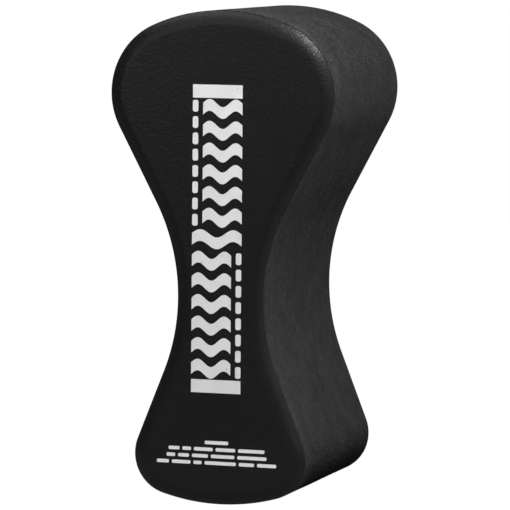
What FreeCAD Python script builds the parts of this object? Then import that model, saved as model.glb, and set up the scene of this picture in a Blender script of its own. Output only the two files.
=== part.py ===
import FreeCAD, Part
import math
import os

# Pull buoy: an hourglass swimming float that is squeezed between the thighs.
# Three layers of closed-cell EVA foam are bonded into one block, and its front carries two prints.
# Millimetres. +Z runs up the length, +X across the width, and the printed front faces -Y.
# The origin is the centre of the foam block.

# ---- driving dimensions: the foam block ----
LENGTH = 240.0
THICKNESS = 116.0
PANEL_THICKNESS = 4.2
GLUE_THICKNESS = 0.2
GLUE_RECESS = 0.4

# ---- driving dimensions: the bowed edge of each outer panel ----
# It falls away from the flat face, gently and then more steeply, and ends in a small rounded corner.
EDGE_WIDTH = 6.5
EDGE_DROP = 3.3
EDGE_START_SHARE = 0.38
EDGE_SECTIONS = 4
CORNER_ROUND = 0.8

# ---- driving dimensions: the hourglass outline, which mirrors across the length axis ----
CROWN_RADIUS = 87.0
CROWN_HALF_ANGLE = 24.0
SHOULDER_RADIUS = 36.0
WAIST_RADIUS = 98.0
WAIST_HALF_WIDTH = 21.9
WAIST_HEIGHT = -19.4
FOOT_RADIUS = 20.0
BASE_RADIUS = 103.0
BASE_HALF_ANGLE = 16.5

# ---- driving dimensions: the printed graphic, waves between two bars with dashed lines beside them ----
PRINT_THICKNESS = 0.12
GRAPHIC_CENTRE = -1.0
GRAPHIC_WIDTH = 25.2
GRAPHIC_TOP = 84.2
GRAPHIC_BOTTOM = -65.1
END_BAR_HEIGHT = 6.4
WAVE_COUNT = 13
WAVE_PERIODS = 1.5
WAVE_SWING = 1.9
WAVE_FILL = 0.54
WAVE_POINTS = 19
DASH_WIDTH = 2.8
DASH_COUNT = 8
DASH_FILL = 0.72

# ---- driving dimensions: the printed notice, rows of plain dashes given by their lengths ----
NOTICE_TOP_ROW = -89.4
NOTICE_PITCH = 3.33
NOTICE_CENTRE = -0.4
NOTICE_DASH_HEIGHT = 1.7
NOTICE_DASH_GAP = 1.5
NOTICE_ROWS = [
    [12.0],
    [5.6, 4.4, 9.6, 10.0, 13.4],
    [4.4, 5.6, 8.2, 12.0, 14.8],
    [6.2, 9.6, 4.2, 16.0, 7.8, 9.7],
]

DASH_ROUND_SHARE = 0.35
SAME_PLACE = 1e-6
FRONT = -THICKNESS / 2
REAR = THICKNESS / 2


def direction(angle):
    """Unit vector in the XZ plane, at an angle turned from +Z towards +X."""
    return FreeCAD.Vector(math.sin(angle), 0, math.cos(angle))


def flank_angle(lobe_centre, lobe_radius, waist_centre, turn):
    """Angle of the normal to the straight flank that touches a lobe circle and the waist circle."""
    span = waist_centre - lobe_centre
    lean = math.acos((lobe_radius + WAIST_RADIUS) / span.Length)
    return math.atan2(span.x, span.z) - turn * lean


def arc(centre, radius, start, end):
    """Circular edge about a centre in the XZ plane."""
    points = [centre + direction(angle) * radius for angle in (start, (start + end) / 2, end)]
    return Part.Arc(*points).toShape()


def hourglass_wire(inset):
    """Closed hourglass outline in the plane y = 0, moved inwards by inset."""
    crown_half = math.radians(CROWN_HALF_ANGLE)
    base_half = math.radians(BASE_HALF_ANGLE)
    crown_centre = FreeCAD.Vector(0, 0, LENGTH / 2 - CROWN_RADIUS)
    base_centre = FreeCAD.Vector(0, 0, BASE_RADIUS - LENGTH / 2)
    shoulder_centre = crown_centre + direction(crown_half) * (CROWN_RADIUS - SHOULDER_RADIUS)
    foot_centre = base_centre + direction(math.pi - base_half) * (BASE_RADIUS - FOOT_RADIUS)
    waist_centre = FreeCAD.Vector(WAIST_HALF_WIDTH + WAIST_RADIUS, 0, WAIST_HEIGHT)
    upper = flank_angle(shoulder_centre, SHOULDER_RADIUS, waist_centre, 1)
    lower = flank_angle(foot_centre, FOOT_RADIUS, waist_centre, -1)

    shoulder = arc(shoulder_centre, SHOULDER_RADIUS - inset, crown_half, upper)
    waist = arc(waist_centre, WAIST_RADIUS + inset, upper + math.pi, lower + math.pi)
    foot = arc(foot_centre, FOOT_RADIUS - inset, lower, math.pi - base_half)
    side = [
        shoulder,
        Part.makeLine(shoulder.Vertexes[-1].Point, waist.Vertexes[0].Point),
        waist,
        Part.makeLine(waist.Vertexes[-1].Point, foot.Vertexes[0].Point),
        foot,
    ]
    other_side = [edge.mirror(FreeCAD.Vector(), FreeCAD.Vector(1, 0, 0)) for edge in side]
    crown = arc(crown_centre, CROWN_RADIUS - inset, -crown_half, crown_half)
    base = arc(base_centre, BASE_RADIUS - inset, math.pi - base_half, math.pi + base_half)
    return Part.Wire(Part.__sortEdges__([crown, base] + side + other_side))


def hourglass_slab(front_y, thickness, inset=0.0):
    """Hourglass slab from front_y towards +Y."""
    face = Part.Face(hourglass_wire(inset))
    face.translate(FreeCAD.Vector(0, front_y, 0))
    return face.extrude(FreeCAD.Vector(0, thickness, 0))


def bowed_edge_sections():
    """Outlines through the bowed edge of the front panel, from the flat face out to the side."""
    sections = []
    for step in range(EDGE_SECTIONS + 1):
        part = step / EDGE_SECTIONS
        drop = EDGE_DROP * (EDGE_START_SHARE * part + (1 - EDGE_START_SHARE) * part**2)
        wire = hourglass_wire(EDGE_WIDTH * (1 - part))
        wire.translate(FreeCAD.Vector(0, FRONT + drop, 0))
        sections.append(wire)
    return sections


def front_foam_panel():
    """Outer foam layer: a flat face, a bowed edge and a short straight side."""
    bowed = Part.makeLoft(bowed_edge_sections(), True)
    side = hourglass_slab(FRONT + EDGE_DROP, PANEL_THICKNESS - EDGE_DROP)
    panel = bowed.fuse(side).removeSplitter()
    corner = [
        edge for edge in panel.Edges
        if all(abs(v.Y - FRONT - EDGE_DROP) < SAME_PLACE for v in edge.Vertexes)
    ]
    return panel.makeFillet(CORNER_ROUND, corner)


def front_glue_film():
    """Contact adhesive between the front panel and the core, just short of the foam's edge."""
    return hourglass_slab(FRONT + PANEL_THICKNESS, GLUE_THICKNESS, GLUE_RECESS)


def core_foam_block():
    rim = PANEL_THICKNESS + GLUE_THICKNESS
    return hourglass_slab(FRONT + rim, THICKNESS - 2 * rim)


def rear_glue_film():
    """Contact adhesive between the core and the rear panel."""
    return hourglass_slab(REAR - PANEL_THICKNESS - GLUE_THICKNESS, GLUE_THICKNESS, GLUE_RECESS)


def rear_foam_panel():
    """Mirror image of the front panel."""
    return front_foam_panel().mirror(FreeCAD.Vector(), FreeCAD.Vector(0, 1, 0))


def printed_bar(low_x, high_x, low_z, high_z):
    """Flat rectangle of ink on the front face."""
    corner = FreeCAD.Vector(low_x, FRONT - PRINT_THICKNESS, low_z)
    return Part.makeBox(high_x - low_x, PRINT_THICKNESS, high_z - low_z, corner)


def rounded_dash(low_x, high_x, low_z, high_z):
    """Flat dash of ink on the front face, with its four corners rounded."""
    bar = printed_bar(low_x, high_x, low_z, high_z)
    corners = [
        edge for edge in bar.Edges if abs(edge.Vertexes[0].Y - edge.Vertexes[1].Y) > SAME_PLACE
    ]
    radius = DASH_ROUND_SHARE * min(high_x - low_x, high_z - low_z)
    return bar.makeFillet(radius, corners)


def wave_line(low_x, high_x, height):
    """Smooth wavy edge across the graphic, from low_x to high_x."""
    points = []
    for step in range(WAVE_POINTS):
        part = step / (WAVE_POINTS - 1)
        swing = WAVE_SWING * math.sin(2 * math.pi * WAVE_PERIODS * part)
        points.append(FreeCAD.Vector(low_x + part * (high_x - low_x), FRONT, height + swing))
    curve = Part.BSplineCurve()
    curve.interpolate(points)
    return curve.toShape()


def printed_wave(low_x, high_x, centre_z, height):
    """Wavy band of ink with straight ends."""
    top = wave_line(low_x, high_x, centre_z + height / 2)
    bottom = wave_line(low_x, high_x, centre_z - height / 2)
    ends = [
        Part.makeLine(bottom.Vertexes[i].Point, top.Vertexes[i].Point) for i in (0, -1)
    ]
    face = Part.Face(Part.Wire(Part.__sortEdges__([top, bottom] + ends)))
    return face.extrude(FreeCAD.Vector(0, -PRINT_THICKNESS, 0))


def dash_column(low_x, high_x, low_z, high_z):
    """Dashed line that runs up one side of the graphic."""
    pitch = (high_z - low_z) / DASH_COUNT
    dash = pitch * DASH_FILL
    return [
        rounded_dash(low_x, high_x, centre - dash / 2, centre + dash / 2)
        for centre in (low_z + (i + 0.5) * pitch for i in range(DASH_COUNT))
    ]


def printed_graphic():
    """Waves between two end bars. The upper ones leave room on the left, the lower ones on the right."""
    half = GRAPHIC_WIDTH / 2
    top = GRAPHIC_TOP - END_BAR_HEIGHT
    bottom = GRAPHIC_BOTTOM + END_BAR_HEIGHT
    pitch = (top - bottom) / WAVE_COUNT
    middle = WAVE_COUNT // 2
    column_edge = half - DASH_WIDTH
    wave_edge = column_edge - (1 - WAVE_FILL) * pitch / 2

    pieces = [
        printed_bar(-half, half, top, GRAPHIC_TOP),
        printed_bar(-half, half, GRAPHIC_BOTTOM, bottom),
    ]
    for row in range(WAVE_COUNT):
        low_x = -wave_edge if row < middle else -half
        high_x = wave_edge if row > middle else half
        pieces.append(printed_wave(low_x, high_x, top - (row + 0.5) * pitch, pitch * WAVE_FILL))
    pieces += dash_column(-half, -column_edge, top - middle * pitch, top)
    pieces += dash_column(column_edge, half, bottom, bottom + middle * pitch)
    graphic = Part.makeCompound(pieces)
    graphic.translate(FreeCAD.Vector(GRAPHIC_CENTRE, 0, 0))
    return graphic


def printed_notice():
    """Rows of plain dashes near the foot, each row centred on the notice."""
    dashes = []
    for row, lengths in enumerate(NOTICE_ROWS):
        centre_z = NOTICE_TOP_ROW - row * NOTICE_PITCH
        row_width = sum(lengths) + NOTICE_DASH_GAP * (len(lengths) - 1)
        x = NOTICE_CENTRE - row_width / 2
        for length in lengths:
            low_z = centre_z - NOTICE_DASH_HEIGHT / 2
            dashes.append(rounded_dash(x, x + length, low_z, low_z + NOTICE_DASH_HEIGHT))
            x += length + NOTICE_DASH_GAP
    return Part.makeCompound(dashes)


SUBPARTS = [
    front_foam_panel,
    front_glue_film,
    core_foam_block,
    rear_glue_film,
    rear_foam_panel,
    printed_graphic,
    printed_notice,
]

os.makedirs("parts", exist_ok=True)
for subpart in SUBPARTS:
    subpart().exportStep("parts/" + subpart.__name__ + ".step")
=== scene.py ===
import math

import bmesh
import bpy
import numpy as np
from mathutils import Matrix, Vector, noise


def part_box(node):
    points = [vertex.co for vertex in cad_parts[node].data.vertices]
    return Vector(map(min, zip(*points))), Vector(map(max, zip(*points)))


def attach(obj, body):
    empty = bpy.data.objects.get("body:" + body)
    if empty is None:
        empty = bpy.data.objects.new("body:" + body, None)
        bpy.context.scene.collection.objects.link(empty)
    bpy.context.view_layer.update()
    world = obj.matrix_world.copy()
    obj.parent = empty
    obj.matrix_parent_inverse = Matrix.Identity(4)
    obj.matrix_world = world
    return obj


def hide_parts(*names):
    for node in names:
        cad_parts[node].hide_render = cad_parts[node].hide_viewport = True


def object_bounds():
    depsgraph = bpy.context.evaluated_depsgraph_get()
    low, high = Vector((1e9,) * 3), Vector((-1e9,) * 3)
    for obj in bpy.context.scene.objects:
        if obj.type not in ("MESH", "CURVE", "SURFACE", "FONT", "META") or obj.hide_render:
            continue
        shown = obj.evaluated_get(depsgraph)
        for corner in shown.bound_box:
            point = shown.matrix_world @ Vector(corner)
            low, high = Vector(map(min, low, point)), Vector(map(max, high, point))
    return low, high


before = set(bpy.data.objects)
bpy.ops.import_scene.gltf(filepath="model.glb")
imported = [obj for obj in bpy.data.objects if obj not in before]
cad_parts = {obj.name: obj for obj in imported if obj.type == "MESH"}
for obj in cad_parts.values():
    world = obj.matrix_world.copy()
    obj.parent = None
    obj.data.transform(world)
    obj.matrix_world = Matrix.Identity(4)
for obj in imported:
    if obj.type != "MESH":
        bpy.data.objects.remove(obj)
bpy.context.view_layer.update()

# Pull buoy, in metres and in the CAD frame: +Z up the length, +X across the width, and the printed front
# towards -Y. The three foam layers and the two glue films are rebuilt here as fine meshes with their own
# surface relief. The two prints keep their CAD shapes and get ink materials.

# ---- the hourglass outline, the same one that the CAD uses ----
CROWN_RADIUS = 0.087
CROWN_HALF_ANGLE = math.radians(24.0)
SHOULDER_RADIUS = 0.036
WAIST_RADIUS = 0.098
WAIST_HALF_WIDTH = 0.0219
WAIST_HEIGHT = -0.0194
FOOT_RADIUS = 0.020
BASE_RADIUS = 0.103
BASE_HALF_ANGLE = math.radians(16.5)
ARC_POINTS = 300
OUTLINE_TOLERANCE = 0.0006

# ---- the foam edges: a bowed edge that falls away from the flat face, a small corner and a crease ----
# EDGE_START_SHARE is the slope where the bowed edge leaves the face, as a share of its mean slope.
EDGE_WIDTH = 0.0065
EDGE_DROP = 0.0033
EDGE_START_SHARE = 0.38
CORNER_ROUND = 0.0009
LIP_RADIUS = 0.00045
GLUE_INSET = 0.00045
GLUE_BULGE = 0.0001

# ---- mesh density: each foam face closes on a slit that spans AXIS_SHARE of the length ----
OUTLINE_POINTS = 940
WALL_SPACING = 0.00125
EDGE_STEPS = 13
CORNER_STEPS = 5
LIP_STEPS = 4
FACE_RINGS = 30
HIDDEN_RINGS = 3
AXIS_SHARE = 0.74
WELD = 1e-7

# ---- surface relief: heights and wavelengths ----
SKIN_SWELL = 0.00003
SKIN_SWELL_LENGTH = 0.028
SKIN_PEBBLE = 0.000006
SKIN_PEBBLE_LENGTH = 0.0016
CUT_SWELL = 0.00012
CUT_SWELL_LENGTH = 0.030
CUT_MARKS = 0.00003
MARK_LENGTH = 0.045
MARK_WIDTH = 0.0016
CUT_GRAIN = 0.00002
CUT_GRAIN_LENGTH = 0.0018
GLUE_RIPPLE = 0.0001
GLUE_RIPPLE_LENGTH = 0.004

# ---- materials: sizes and bump heights in metres, each range as a start and an end ----
# NOISE_MIDDLE is where most of a noise texture's values lie.
NOISE_MIDDLE = (0.3, 0.7)
FULL_BUMP = 1.0

# pressed skin: the bowed edge is shinier next to the crease than it is next to the flat face
SKIN_GREY = 0.0050
SKIN_VARIATION = 0.12
SKIN_PATCH_SIZE = 0.035
SKIN_PEBBLE_SIZE = 0.0012
SKIN_FINE_SIZE = 0.0007
SKIN_LINT_SIZE = 0.0012
SKIN_LINT_RANGE = (0.74, 0.80)
SKIN_LINT_GREY = 0.02
SKIN_ROUGHNESS = (0.32, 0.46)
SKIN_SHEEN_DEPTH = (0.0545, 0.0568)
SKIN_SHEEN = (0.36, 0.22)
SKIN_PEBBLE_BUMP = 0.00016
SKIN_FINE_BUMP = 0.00005

# cut foam: painted light falloff, paler towards the front and darker towards the rear, and paler next to
# each crease
CUT_GREY = 0.0290
CUT_CELL_SIZE = 0.0014
# painted shade: each open cell's colour is darkened towards its middle, where shade falls in the pit
CUT_CELL_SHADE_RANGE = (0.0, 0.35)
CUT_CELL_SHADE_DEPTH = 0.7
CUT_CELL_SHADE_GREY = 0.009
CUT_GRAIN_SIZE = 0.0015
CUT_GRAIN_VARIATION = 0.60
CUT_MARK_SCALES = (20, 650, 20)
CUT_MARK_VARIATION = 0.14
CUT_PATCH_SIZE = 0.013
CUT_PATCH_VARIATION = 0.24
CUT_BLOTCH_SIZE = 0.004
CUT_BLOTCH_VARIATION = 0.24
# the cut foam's colour is made up to 15% paler next to each crease
CUT_CREASE_PALING_DEPTH = (0.040, 0.0545)
CUT_CREASE_PALING_FACTOR = (1.0, 1.15)
# painted light and shade: the cut foam's colour is made paler at the front and darker at the rear along Y
CUT_PAINTED_FALLOFF_SPAN = (-0.054, 0.056)
CUT_PAINTED_FRONT_LIGHT = 1.16
CUT_PAINTED_REAR_SHADE = 0.78
CUT_FLECK_SIZE = 0.0016
CUT_FLECK_RANGE = (0.68, 0.76)
CUT_FLECK_GREY = 0.075
CUT_ROUGHNESS = (0.62, 0.86)
CUT_SHEEN = 0.25
CUT_CELL_BUMP = 0.00025
CUT_MARK_BUMP = 0.00008
CUT_MARK_STRENGTH = 0.5
CUT_GRAIN_BUMP = 0.00025

# adhesive
GLUE_BLOB_SIZE = 0.002
GLUE_BLOB_RANGE = (0.4, 0.6)
GLUE_DARK = (0.020, 0.019, 0.017)
GLUE_PALE = (0.036, 0.034, 0.030)
GLUE_ROUGHNESS = (0.25, 0.45)
GLUE_BUMP = 0.0001
GLUE_BUMP_STRENGTH = 0.6

# ink: each share is of the ink's own grey
INK_GREYS = {"printed_graphic": 0.76, "printed_notice": 0.84}
INK_PEBBLE_SIZE = 0.0009
INK_WASH_SIZE = 0.012
INK_WASH_RANGE = (0.35, 0.65)
INK_WASH_SHARE = 0.95
INK_SCREEN_SIZE = 0.00045
INK_SCREEN_RANGE = (0.50, 0.72)
INK_SCREEN_DEPTH = 0.16
INK_SCREEN_SHARE = 0.55
INK_PINHOLE_SIZE = 0.0013
INK_PINHOLE_RANGE = (0.76, 0.82)
INK_PINHOLE_DEPTH = 0.7
INK_PINHOLE_GREY = 0.05
INK_ROUGHNESS = (0.5, 0.62)
INK_PEBBLE_BUMP = 0.00003
INK_PEBBLE_STRENGTH = 0.4
INK_SCREEN_BUMP = 0.00001
INK_SCREEN_STRENGTH = 0.3

# ---- camera, from the front right and slightly above ----
CAMERA_AZIMUTH = math.radians(17.98)
CAMERA_ELEVATION = math.radians(5.13)
CAMERA_ROLL = math.radians(0.475)
CAMERA_DISTANCE = 1.942
CAMERA_TARGET = Vector((-0.00036, 0.0, -0.00274))
CAMERA_LENS = 275.97
SENSOR_WIDTH = 36.0

# ---- floor and backdrop: both glow softly towards the object, and look plain and pale to the camera ----
# The floor's distances are measured from the object's middle. Its glow lies in front and to the right, and
# is held dark near the object as a painted shadow.
WHITE = (1, 1, 1, 1)
FLOOR_SIZE = 40.0
FLOOR_MATTE = (0.9, 0.9, 0.9, 1)
FLOOR_PALE = 1.05
FLOOR_PALE_SHARE = 0.95
FLOOR_DARK_RADIUS = 0.15
FLOOR_LIGHT_RADIUS = 0.5
FLOOR_FRONT_TOWARDS = (0, -1, 0)
FLOOR_FRONT_RISE = (0.03, 0.07)
FLOOR_FRONT_FALL = (0.60, 0.25)
FLOOR_FRONT_GLOW = 0.44
FLOOR_SIDE_TOWARDS = (1, 0.2, 0)
FLOOR_SIDE_RISE = (0.0, 0.4)
FLOOR_SIDE_GLOW = 0.30
STUDIO_AMBIENT = 0.12
STUDIO_GLOW_TOWARDS = (0.9, 0.5, 0.1)
STUDIO_GLOW_SPREAD = (0.3, 0.95)
STUDIO_GLOW = 0.32

# ---- softboxes: name, direction from the object, distance, width, height and watts ----
SOFTBOXES = [
    ("front_left", (-0.35, -0.85, 0.45), 0.9, 0.5, 0.5, 1.35),
    ("overhead", (0.30, -0.55, 0.78), 0.9, 0.45, 0.45, 1.3),
    ("overhead_small", (0.42, -0.50, 0.76), 0.6, 0.14, 0.14, 2.15),
    ("right_front", (0.80, -0.60, 0.25), 1.5, 0.6, 0.6, 1.05),
    ("face_sheen", (-0.45, -0.85, 0.30), 0.38, 0.1, 0.1, 0.03),
    ("front_low", (0.0, -1.0, -0.06), 1.0, 0.5, 0.12, 0.25),
    ("top", (-0.34, -0.32, 0.88), 0.8, 0.5, 0.3, 1.5),
    ("low_flank", (0.55, -0.79, 0.27), 0.9, 0.12, 0.12, 0.3),
    ("crease_glint", (0.50, 0.24, 0.83), 0.7, 0.2, 0.2, 0.15),
    ("rear_left", (-0.60, 0.80, 0.15), 1.2, 0.6, 0.6, 2.5),
    ("rear", (-0.25, 0.97, 0.0), 1.2, 0.8, 0.15, 2.2),
]


# ======================================================================================
# Outline
# ======================================================================================

def direction(angle):
    """Unit vector in the XZ plane, at an angle turned from +Z towards +X, as (x, z)."""
    return np.stack([np.sin(angle), np.cos(angle)], axis=-1)


def flank_angle(lobe_centre, lobe_radius, waist_centre, turn):
    """Angle of the normal to the straight flank that touches a lobe circle and the waist circle."""
    span = waist_centre - lobe_centre
    lean = math.acos((lobe_radius + WAIST_RADIUS) / np.hypot(*span))
    return math.atan2(span[0], span[1]) - turn * lean


def half_outline(half_length):
    """Dense points of the right-hand outline from crown to base, each with the angle of its normal."""
    crown_centre = np.array([0, half_length - CROWN_RADIUS])
    base_centre = np.array([0, BASE_RADIUS - half_length])
    shoulder_centre = crown_centre + (CROWN_RADIUS - SHOULDER_RADIUS) * direction(CROWN_HALF_ANGLE)
    foot_centre = base_centre + (BASE_RADIUS - FOOT_RADIUS) * direction(math.pi - BASE_HALF_ANGLE)
    waist_centre = np.array([WAIST_HALF_WIDTH + WAIST_RADIUS, WAIST_HEIGHT])
    upper = flank_angle(shoulder_centre, SHOULDER_RADIUS, waist_centre, 1)
    lower = flank_angle(foot_centre, FOOT_RADIUS, waist_centre, -1)
    arcs = [
        (crown_centre, CROWN_RADIUS, 0, CROWN_HALF_ANGLE),
        (shoulder_centre, SHOULDER_RADIUS, CROWN_HALF_ANGLE, upper),
        (waist_centre, -WAIST_RADIUS, upper, lower),
        (foot_centre, FOOT_RADIUS, lower, math.pi - BASE_HALF_ANGLE),
        (base_centre, BASE_RADIUS, math.pi - BASE_HALF_ANGLE, math.pi),
    ]
    points, angles = [], []
    for centre, radius, start, end in arcs:
        turn = np.linspace(start, end, ARC_POINTS)
        points.append(centre + radius * direction(turn))
        angles.append(turn)
    return np.concatenate(points), np.concatenate(angles)


def closed_outline(half_length, count):
    """count evenly spaced points round the outline from the crown's middle, with their outward normals."""
    points, angles = half_outline(half_length)
    travel = np.r_[0, np.cumsum(np.hypot(*np.diff(points, axis=0).T))]
    even = np.linspace(0, travel[-1], count // 2 + 1)
    right = np.stack([np.interp(even, travel, points[:, axis]) for axis in (0, 1)], axis=-1)
    normals = direction(np.interp(even, travel, angles))
    mirror = np.array([-1, 1])
    left = slice(-2, 0, -1)
    return np.concatenate([right, right[left] * mirror]), np.concatenate([normals, normals[left] * mirror])


def check_outline(node):
    """Stops the script if the outline here isn't the CAD node's own."""
    corners = np.array([(corner.co.x, corner.co.z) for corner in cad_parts[node].data.vertices])
    gaps = np.hypot(*(corners[:, None] - OUTLINE[None]).transpose(2, 0, 1)).min(axis=1)
    if gaps.max() > OUTLINE_TOLERANCE:
        raise ValueError(f"the outline is {gaps.max() * 1000:.2f} mm away from {node}")


HALF_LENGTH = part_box("core_foam_block")[1].z
OUTLINE, NORMALS = closed_outline(HALF_LENGTH, OUTLINE_POINTS)
check_outline("core_foam_block")


# ======================================================================================
# Meshes
# ======================================================================================

def cut_profile(steps):
    """Rings' places and normals for a list of (inset, y, outward, forward) steps.

    inset is the distance inside the outline. outward and forward are the parts of the normal that point away
    from the outline and along Y.
    """
    rings = []
    for inset, y, outward, forward in steps:
        flat = OUTLINE - NORMALS * inset
        points = np.column_stack([flat[:, 0], np.full(OUTLINE_POINTS, y), flat[:, 1]])
        normals = np.column_stack([
            NORMALS[:, 0] * outward, np.full(OUTLINE_POINTS, forward), NORMALS[:, 1] * outward
        ])
        rings.append((points, normals))
    return rings


def close_face(edge_ring, count):
    """Rings that close a flat face, from just inside edge_ring to a slit on the length axis."""
    points, normals = edge_ring
    half = OUTLINE_POINTS // 2
    reach = np.abs(np.arange(OUTLINE_POINTS) - half) / half
    slit_z = AXIS_SHARE * HALF_LENGTH * (2 * reach - 1)
    slit = np.column_stack([np.zeros(OUTLINE_POINTS), points[:, 1], slit_z])
    return [(points + (slit - points) * ring / count, normals) for ring in range(1, count + 1)]


def build_piece(name, rings, relief, material, node):
    """Closed mesh through a stack of rings that starts and ends with a slit, raised by its relief."""
    points = np.concatenate([ring[0] for ring in rings])
    normals = np.concatenate([ring[1] for ring in rings])
    heights = np.array([relief(Vector(point)) for point in points])
    points = points + normals * heights[:, None]
    here = np.arange(OUTLINE_POINTS)
    after = (here + 1) % OUTLINE_POINTS
    strip = np.column_stack([here, after, after + OUTLINE_POINTS, here + OUTLINE_POINTS])
    quads = np.concatenate([strip + ring * OUTLINE_POINTS for ring in range(len(rings) - 1)])
    mesh = bpy.data.meshes.new(name)
    mesh.from_pydata(points.tolist(), [], quads.tolist())
    work = bmesh.new()
    work.from_mesh(mesh)
    bmesh.ops.remove_doubles(work, verts=work.verts, dist=WELD)
    bmesh.ops.dissolve_degenerate(work, edges=work.edges, dist=WELD)
    bmesh.ops.recalc_face_normals(work, faces=work.faces)
    work.to_mesh(mesh)
    work.free()
    mesh.polygons.foreach_set("use_smooth", [True] * len(mesh.polygons))
    mesh.materials.append(material)
    piece = bpy.data.objects.new(name, mesh)
    bpy.context.scene.collection.objects.link(piece)
    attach(piece, "root")
    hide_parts(node)
    return piece


def quarter_turn(count):
    """Angles from 0 to a right angle, both included."""
    return np.linspace(0, math.pi / 2, count)


def lip_steps(crease_y, away):
    """Steps of the small lip that turns from the side wall into a crease. away is -1 or 1 along Y."""
    steps = []
    for turn in quarter_turn(LIP_STEPS)[::-1]:
        across, along = math.sin(turn), math.cos(turn)
        y = crease_y + away * LIP_RADIUS * (1 - along)
        steps.append((LIP_RADIUS * (1 - across), y, across, -away * along))
    return steps


def bowed_edge_steps():
    """Steps of (inset, drop, slope angle) from the flat face's edge over the bowed edge to the side wall."""
    steps = []
    end_slope = math.atan(EDGE_DROP * (2 - EDGE_START_SHARE) / EDGE_WIDTH)
    corner_start = 1 - CORNER_ROUND * (1 - math.sin(end_slope)) / EDGE_WIDTH
    for part in np.linspace(0, corner_start, EDGE_STEPS):
        drop = EDGE_DROP * (EDGE_START_SHARE * part + (1 - EDGE_START_SHARE) * part**2)
        slope = math.atan(EDGE_DROP * (EDGE_START_SHARE + 2 * (1 - EDGE_START_SHARE) * part) / EDGE_WIDTH)
        steps.append((EDGE_WIDTH * (1 - part), drop, slope))
    corner_drop = steps[-1][1] + CORNER_ROUND * math.cos(end_slope)
    for slope in np.linspace(end_slope, math.pi / 2, CORNER_STEPS)[1:]:
        drop = corner_drop - CORNER_ROUND * math.cos(slope)
        steps.append((CORNER_ROUND * (1 - math.sin(slope)), drop, slope))
    return steps


def panel_rings(node, is_front):
    """Outer foam layer: flat face, bowed edge, small corner, and a lip that turns into the crease."""
    low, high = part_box(node)
    face_y, crease_y, inward = (low.y, high.y, 1) if is_front else (high.y, low.y, -1)
    edge = [
        (inset, face_y + inward * drop, math.sin(slope), -inward * math.cos(slope))
        for inset, drop, slope in bowed_edge_steps()
    ]
    edge[0] = (EDGE_WIDTH, face_y, 0, -inward)
    rings = cut_profile(edge + lip_steps(crease_y, -inward))
    return close_face(rings[0], FACE_RINGS)[::-1] + rings + close_face(rings[-1], HIDDEN_RINGS)


def core_rings(node):
    """Middle foam layer: the side wall with a small lip into each crease, and two hidden faces."""
    low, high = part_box(node)
    steps = round((high.y - low.y) / WALL_SPACING)
    wall = [(0, y, 1, 0) for y in np.linspace(low.y + LIP_RADIUS, high.y - LIP_RADIUS, steps)[1:-1]]
    rings = cut_profile(lip_steps(low.y, 1)[::-1] + wall + lip_steps(high.y, -1))
    return close_face(rings[0], HIDDEN_RINGS)[::-1] + rings + close_face(rings[-1], HIDDEN_RINGS)


def glue_rings(node):
    """Thin adhesive film that shows as a line at the bottom of the crease."""
    low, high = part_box(node)
    middle = (low.y + high.y) / 2
    rings = cut_profile([
        (GLUE_INSET, low.y, 0, -1),
        (GLUE_INSET - GLUE_BULGE, middle, 1, 0),
        (GLUE_INSET, high.y, 0, 1),
    ])
    return close_face(rings[0], HIDDEN_RINGS)[::-1] + rings + close_face(rings[-1], HIDDEN_RINGS)


# ---- relief: height in metres of the surface at a point ----

def band_limited(point, wavelength):
    """Smooth noise from about -1 to 1, with bumps about wavelength apart."""
    return noise.noise(point / wavelength)


def skin_relief(point):
    """Pressed foam skin: nearly flat, and just under the CAD surface so that the prints stay on top."""
    swell = SKIN_SWELL * band_limited(point, SKIN_SWELL_LENGTH)
    pebble = SKIN_PEBBLE * band_limited(point, SKIN_PEBBLE_LENGTH)
    return swell + pebble - SKIN_SWELL - SKIN_PEBBLE


def cut_relief(point):
    """Cut foam: slow swells, long shallow sanding marks round the outline, and a coarse cell grain."""
    swell = CUT_SWELL * band_limited(point, CUT_SWELL_LENGTH)
    marks_at = Vector((point.x / MARK_LENGTH, point.y / MARK_WIDTH, point.z / MARK_LENGTH))
    marks = CUT_MARKS * noise.noise(marks_at)
    grain = CUT_GRAIN * band_limited(point, CUT_GRAIN_LENGTH)
    return swell + marks + grain


def glue_relief(point):
    """Uneven edge of the adhesive."""
    return GLUE_RIPPLE * band_limited(point, GLUE_RIPPLE_LENGTH)


# ======================================================================================
# Materials
# ======================================================================================

class Nodes:
    """Adds nodes and links to one node tree."""

    def __init__(self, tree):
        self.tree = tree

    def node(self, kind, **settings):
        """New node with the given settings."""
        made = self.tree.nodes.new(kind)
        for key, value in settings.items():
            setattr(made, key, value)
        return made

    def link(self, source, target):
        """Joins an output socket to an input socket."""
        self.tree.links.new(source, target)

    def math(self, operation, first, second):
        """Result of a sum on two values, each a number or a socket."""
        made = self.node("ShaderNodeMath", operation=operation)
        for socket, value in zip(made.inputs, (first, second)):
            if isinstance(value, (int, float)):
                socket.default_value = value
            else:
                self.link(value, socket)
        return made.outputs[0]


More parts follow.
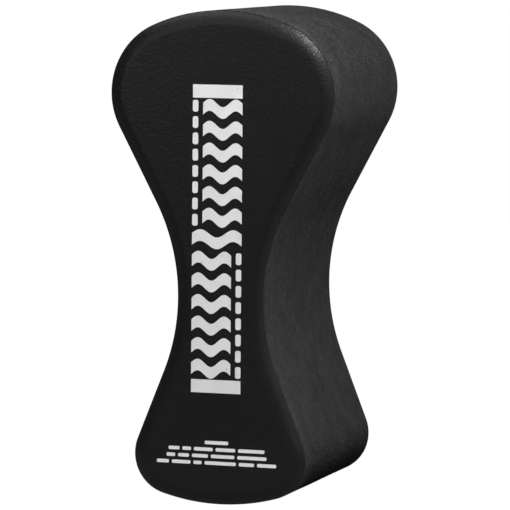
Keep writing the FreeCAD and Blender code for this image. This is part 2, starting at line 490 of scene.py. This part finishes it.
class Shader(Nodes):
    """A node material with one Principled surface, built up from procedural textures in metres."""

    def __init__(self, name):
        self.material = bpy.data.materials.new(name)
        self.material.use_nodes = True
        super().__init__(self.material.node_tree)
        self.surface = self.tree.nodes["Principled BSDF"]
        self.place = self.node("ShaderNodeTexCoord").outputs["Object"]

    def stretched(self, scale):
        """The object's coordinates, scaled by three factors."""
        mapping = self.node("ShaderNodeMapping")
        mapping.inputs["Scale"].default_value = scale
        self.link(self.place, mapping.inputs["Vector"])
        return mapping.outputs["Vector"]

    def noise(self, wavelength, detail=2.0, stretch=None):
        """Noise from 0 to 1 with features about wavelength apart."""
        texture = self.node("ShaderNodeTexNoise")
        texture.inputs["Scale"].default_value = 1 / wavelength
        texture.inputs["Detail"].default_value = detail
        self.link(self.stretched(stretch) if stretch else self.place, texture.inputs["Vector"])
        return texture.outputs["Fac"]

    def cells(self, size):
        """Distance from the nearest of a field of foam cells, from 0 at a cell's middle."""
        texture = self.node("ShaderNodeTexVoronoi")
        texture.inputs["Scale"].default_value = 1 / size
        self.link(self.place, texture.inputs["Vector"])
        return texture.outputs["Distance"]

    def remap(self, value, low, high, to_low=0.0, to_high=1.0):
        """value, taken from low..high to to_low..to_high and held at those ends."""
        made = self.node("ShaderNodeMapRange", clamp=True)
        limits = {"From Min": low, "From Max": high, "To Min": to_low, "To Max": to_high}
        for socket, number in limits.items():
            made.inputs[socket].default_value = number
        self.link(value, made.inputs["Value"])
        return made.outputs["Result"]

    def mix(self, share, first, second):
        """Colour between first and second, each a grey level, an RGB triple or another node's colour."""
        made = self.node("ShaderNodeMix", data_type="RGBA")
        self.link(share, made.inputs["Factor"])
        for socket, value in zip((made.inputs[6], made.inputs[7]), (first, second)):
            if isinstance(value, tuple):
                socket.default_value = (*value, 1.0)
            elif isinstance(value, float):
                socket.default_value = (value, value, value, 1.0)
            else:
                self.link(value, socket)
        return made.outputs[2]

    def bump(self, height, distance, strength=FULL_BUMP, under=None):
        """Normal with a bump of distance metres, on top of another bump if under is given."""
        made = self.node("ShaderNodeBump")
        made.inputs["Distance"].default_value = distance
        made.inputs["Strength"].default_value = strength
        self.link(height, made.inputs["Height"])
        if under is not None:
            self.link(under, made.inputs["Normal"])
        return made.outputs["Normal"]

    def set(self, socket, value):
        """Gives one of the surface's inputs a number or another node's output."""
        if isinstance(value, (int, float)):
            self.surface.inputs[socket].default_value = value
        else:
            self.link(value, self.surface.inputs[socket])

    def coordinate(self, axis):
        """One coordinate of the surface point, in metres."""
        split = self.node("ShaderNodeSeparateXYZ")
        self.link(self.place, split.inputs["Vector"])
        return split.outputs[axis]

    def vary(self, level, texture, share):
        """level, made darker and lighter by share where a 0-to-1 texture is low and high."""
        return self.math("MULTIPLY", level, self.remap(texture, *NOISE_MIDDLE, 1 - share, 1 + share))

    def depth(self):
        """Distance of the surface point from the middle of the thickness, in metres."""
        return self.math("ABSOLUTE", self.coordinate("Y"), 0.0)


def foam_skin_material():
    """Smooth pressed skin of the outer layers: very dark, with a fine pebble and a soft sheen."""
    shader = Shader("foam_skin")
    patches = shader.noise(SKIN_PATCH_SIZE, 3)
    pebble = shader.noise(SKIN_PEBBLE_SIZE, 2)
    fine = shader.noise(SKIN_FINE_SIZE, 2)
    level = shader.vary(SKIN_GREY, patches, SKIN_VARIATION)
    level = shader.vary(level, pebble, SKIN_VARIATION)
    lint = shader.remap(shader.noise(SKIN_LINT_SIZE, 1), *SKIN_LINT_RANGE)
    shader.set("Base Color", shader.mix(lint, level, SKIN_LINT_GREY))
    shader.set("Roughness", shader.remap(pebble, *NOISE_MIDDLE, *SKIN_ROUGHNESS))
    shader.set("Specular IOR Level", shader.remap(shader.depth(), *SKIN_SHEEN_DEPTH, *SKIN_SHEEN))
    low = shader.bump(pebble, SKIN_PEBBLE_BUMP)
    shader.set("Normal", shader.bump(fine, SKIN_FINE_BUMP, under=low))
    return shader.material


def foam_cut_material():
    """Cut side wall: lighter and duller than the skin, with open cells, blotches and long sanding marks."""
    shader = Shader("foam_cut")
    cell = shader.cells(CUT_CELL_SIZE)
    grain = shader.noise(CUT_GRAIN_SIZE, 3)
    marks = shader.noise(1.0, 3, CUT_MARK_SCALES)
    patches = shader.noise(CUT_PATCH_SIZE, 4)
    blotches = shader.noise(CUT_BLOTCH_SIZE, 2)
    # colour made paler next to each crease
    crease_paling = shader.remap(shader.depth(), *CUT_CREASE_PALING_DEPTH, *CUT_CREASE_PALING_FACTOR)
    # painted light and shade: colour made paler towards the front and darker towards the rear
    painted_falloff = shader.remap(shader.coordinate("Y"), *CUT_PAINTED_FALLOFF_SPAN, CUT_PAINTED_FRONT_LIGHT, CUT_PAINTED_REAR_SHADE)
    level = shader.vary(CUT_GREY, patches, CUT_PATCH_VARIATION)
    level = shader.vary(level, blotches, CUT_BLOTCH_VARIATION)
    level = shader.vary(level, grain, CUT_GRAIN_VARIATION)
    level = shader.vary(level, marks, CUT_MARK_VARIATION)
    level = shader.math("MULTIPLY", shader.math("MULTIPLY", level, crease_paling), painted_falloff)
    # painted shade: darkens each open cell towards its middle
    level = shader.mix(shader.remap(cell, *CUT_CELL_SHADE_RANGE, CUT_CELL_SHADE_DEPTH, 0.0), level, CUT_CELL_SHADE_GREY)
    flecks = shader.remap(shader.noise(CUT_FLECK_SIZE, 1), *CUT_FLECK_RANGE)
    shader.set("Base Color", shader.mix(flecks, level, CUT_FLECK_GREY))
    shader.set("Roughness", shader.remap(grain, *NOISE_MIDDLE, *CUT_ROUGHNESS))
    shader.set("Specular IOR Level", CUT_SHEEN)
    low = shader.bump(cell, CUT_CELL_BUMP)
    low = shader.bump(marks, CUT_MARK_BUMP, CUT_MARK_STRENGTH, low)
    shader.set("Normal", shader.bump(grain, CUT_GRAIN_BUMP, under=low))
    return shader.material


def adhesive_material():
    """Dried contact adhesive: a dark, slightly amber and slightly shiny line."""
    shader = Shader("adhesive")
    blobs = shader.noise(GLUE_BLOB_SIZE, 2)
    shader.set("Base Color", shader.mix(shader.remap(blobs, *GLUE_BLOB_RANGE), GLUE_DARK, GLUE_PALE))
    shader.set("Roughness", shader.remap(blobs, *NOISE_MIDDLE, *GLUE_ROUGHNESS))
    shader.set("Normal", shader.bump(blobs, GLUE_BUMP, GLUE_BUMP_STRENGTH))
    return shader.material


def ink_material(name, grey):
    """Screen-printed ink that follows the foam's pebble, with thin spots and a few pinholes."""
    shader = Shader(name)
    pebble = shader.noise(INK_PEBBLE_SIZE, 2)
    screen = shader.noise(INK_SCREEN_SIZE, 1)
    wash = shader.noise(INK_WASH_SIZE, 2)
    tone = shader.mix(shader.remap(wash, *INK_WASH_RANGE), grey * INK_WASH_SHARE, grey)
    thin = shader.remap(screen, *INK_SCREEN_RANGE, 0.0, INK_SCREEN_DEPTH)
    tone = shader.mix(thin, tone, grey * INK_SCREEN_SHARE)
    pinholes = shader.remap(shader.noise(INK_PINHOLE_SIZE, 1), *INK_PINHOLE_RANGE, 0.0, INK_PINHOLE_DEPTH)
    shader.set("Base Color", shader.mix(pinholes, tone, INK_PINHOLE_GREY))
    shader.set("Roughness", shader.remap(pebble, *NOISE_MIDDLE, *INK_ROUGHNESS))
    low = shader.bump(pebble, INK_PEBBLE_BUMP, INK_PEBBLE_STRENGTH)
    shader.set("Normal", shader.bump(screen, INK_SCREEN_BUMP, INK_SCREEN_STRENGTH, low))
    return shader.material


# ======================================================================================
# The object
# ======================================================================================

def build_foam():
    """The two outer layers, the core between them, and the glue that bonds them."""
    skin = foam_skin_material()
    cut = foam_cut_material()
    glue = adhesive_material()
    for side in ("front", "rear"):
        node = side + "_foam_panel"
        rings = panel_rings(node, side == "front")
        build_piece(side + "_panel_skin", rings, skin_relief, skin, node)
    build_piece("core_block", core_rings("core_foam_block"), cut_relief, cut, "core_foam_block")
    for side in ("front", "rear"):
        node = side + "_glue_film"
        build_piece(side + "_glue_line", glue_rings(node), glue_relief, glue, node)


def finish_prints():
    """The prints keep their CAD shapes and get their inks."""
    for node, grey in INK_GREYS.items():
        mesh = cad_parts[node].data
        mesh.materials.clear()
        mesh.materials.append(ink_material(node + "_ink", grey))


# ======================================================================================
# Floor, light and camera
# ======================================================================================

class Studio(Nodes):
    """The emptied node tree of the floor's material or of the world."""

    def __init__(self, owner):
        owner.use_nodes = True
        super().__init__(owner.node_tree)
        self.tree.nodes.clear()

    def filled(self, kind, **sockets):
        """New node with the given input sockets set."""
        made = self.node(kind)
        for name, value in sockets.items():
            made.inputs[name.replace("_", " ")].default_value = value
        return made

    def distance_along(self, vector, towards):
        """How far a vector reaches in one direction."""
        made = self.node("ShaderNodeVectorMath", operation="DOT_PRODUCT")
        made.inputs[1].default_value = Vector(towards).normalized()
        self.link(vector, made.inputs[0])
        return made.outputs["Value"]

    def ramp(self, value, start, full, height):
        """Rises smoothly from 0 at start to height at full."""
        made = self.filled("ShaderNodeMapRange", From_Min=start, From_Max=full, To_Min=0.0, To_Max=height)
        made.interpolation_type = "SMOOTHSTEP"
        self.link(value, made.inputs["Value"])
        return made.outputs[0]

    def choose(self, share, first, second):
        """Shader that is first where share is 0 and second where share is 1."""
        made = self.node("ShaderNodeMixShader")
        if isinstance(share, float):
            made.inputs[0].default_value = share
        else:
            self.link(share, made.inputs[0])
        self.link(first, made.inputs[1])
        self.link(second, made.inputs[2])
        return made.outputs[0]

    def seen_or_lit(self, seen, lit):
        """One shader for what the camera sees and another for the light that reaches the object."""
        return self.choose(self.node("ShaderNodeLightPath").outputs["Is Camera Ray"], lit, seen)


def build_floor():
    """Plain pale floor under the object. It glows softly towards the object, and is clear from below."""
    mesh = bpy.data.meshes.new("floor")
    corners = [(x * FLOOR_SIZE, y * FLOOR_SIZE, 0) for x, y in ((-1, -1), (1, -1), (1, 1), (-1, 1))]
    mesh.from_pydata(corners, [], [(0, 1, 2, 3)])
    floor = bpy.data.objects.new("floor", mesh)
    floor.location.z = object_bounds()[0].z
    bpy.context.scene.collection.objects.link(floor)

    material = bpy.data.materials.new("floor")
    studio = Studio(material)
    matte = studio.filled("ShaderNodeBsdfDiffuse", Color=FLOOR_MATTE)
    pale = studio.filled("ShaderNodeEmission", Color=WHITE, Strength=FLOOR_PALE)
    seen = studio.choose(FLOOR_PALE_SHARE, matte.outputs[0], pale.outputs[0])

    place = studio.node("ShaderNodeTexCoord").outputs["Object"]
    length = studio.node("ShaderNodeVectorMath", operation="LENGTH")
    studio.link(place, length.inputs[0])
    # painted shadow: the glow is held dark close to the object and rises to full further out
    away = studio.ramp(length.outputs["Value"], FLOOR_DARK_RADIUS, FLOOR_LIGHT_RADIUS, 1.0)
    side = studio.ramp(studio.distance_along(place, FLOOR_SIDE_TOWARDS), *FLOOR_SIDE_RISE, FLOOR_SIDE_GLOW)
    forward = studio.distance_along(place, FLOOR_FRONT_TOWARDS)
    rise = studio.ramp(forward, *FLOOR_FRONT_RISE, FLOOR_FRONT_GLOW)
    fall = studio.ramp(forward, *FLOOR_FRONT_FALL, 1.0)
    strength = studio.math("ADD", studio.math("MULTIPLY", away, side), studio.math("MULTIPLY", rise, fall))
    glow = studio.filled("ShaderNodeEmission", Color=WHITE)
    studio.link(strength, glow.inputs["Strength"])

    from_above = studio.seen_or_lit(seen, glow.outputs[0])
    clear = studio.node("ShaderNodeBsdfTransparent")
    from_below = studio.node("ShaderNodeNewGeometry").outputs["Backfacing"]
    output = studio.node("ShaderNodeOutputMaterial")
    studio.link(studio.choose(from_below, from_above, clear.outputs[0]), output.inputs["Surface"])
    mesh.materials.append(material)


def build_world():
    """Pale backdrop for the camera, and for the object a faint light all round and a glow on one side."""
    world = bpy.data.worlds.new("studio")
    bpy.context.scene.world = world
    studio = Studio(world)
    view = studio.node("ShaderNodeTexCoord").outputs["Generated"]
    facing = studio.distance_along(view, STUDIO_GLOW_TOWARDS)
    glow = studio.ramp(facing, *STUDIO_GLOW_SPREAD, STUDIO_GLOW)
    lit = studio.filled("ShaderNodeBackground", Color=WHITE)
    studio.link(studio.math("ADD", STUDIO_AMBIENT, glow), lit.inputs["Strength"])
    seen = studio.filled("ShaderNodeBackground", Color=WHITE, Strength=FLOOR_PALE)
    output = studio.node("ShaderNodeOutputWorld")
    studio.link(studio.seen_or_lit(seen.outputs[0], lit.outputs[0]), output.inputs["Surface"])


def build_softboxes():
    """Rectangular area lights that look at the object."""
    for name, towards, distance, width, height, power in SOFTBOXES:
        lamp = bpy.data.lights.new(name, "AREA")
        lamp.shape = "RECTANGLE"
        lamp.size = width
        lamp.size_y = height
        lamp.energy = power
        box = bpy.data.objects.new(name, lamp)
        away = Vector(towards).normalized()
        box.location = away * distance
        box.rotation_euler = away.to_track_quat("Z", "Y").to_euler()
        bpy.context.scene.collection.objects.link(box)


def build_camera():
    """Long-lens camera in front of the object, a little to its right and a little above."""
    data = bpy.data.cameras.new("camera")
    data.sensor_width = SENSOR_WIDTH
    data.lens = CAMERA_LENS
    camera = bpy.data.objects.new("camera", data)
    bpy.context.scene.collection.objects.link(camera)
    bpy.context.scene.camera = camera
    back = Vector((
        math.sin(CAMERA_AZIMUTH) * math.cos(CAMERA_ELEVATION),
        -math.cos(CAMERA_AZIMUTH) * math.cos(CAMERA_ELEVATION),
        math.sin(CAMERA_ELEVATION),
    ))
    level = back.to_track_quat("Z", "Y").to_matrix()
    turn = level @ Matrix.Rotation(CAMERA_ROLL, 3, "Z")
    camera.matrix_world = Matrix.Translation(CAMERA_TARGET + back * CAMERA_DISTANCE) @ turn.to_4x4()


build_foam()
finish_prints()
build_floor()
build_world()
build_softboxes()
build_camera()
bpy.context.scene.view_settings.view_transform = "Standard"
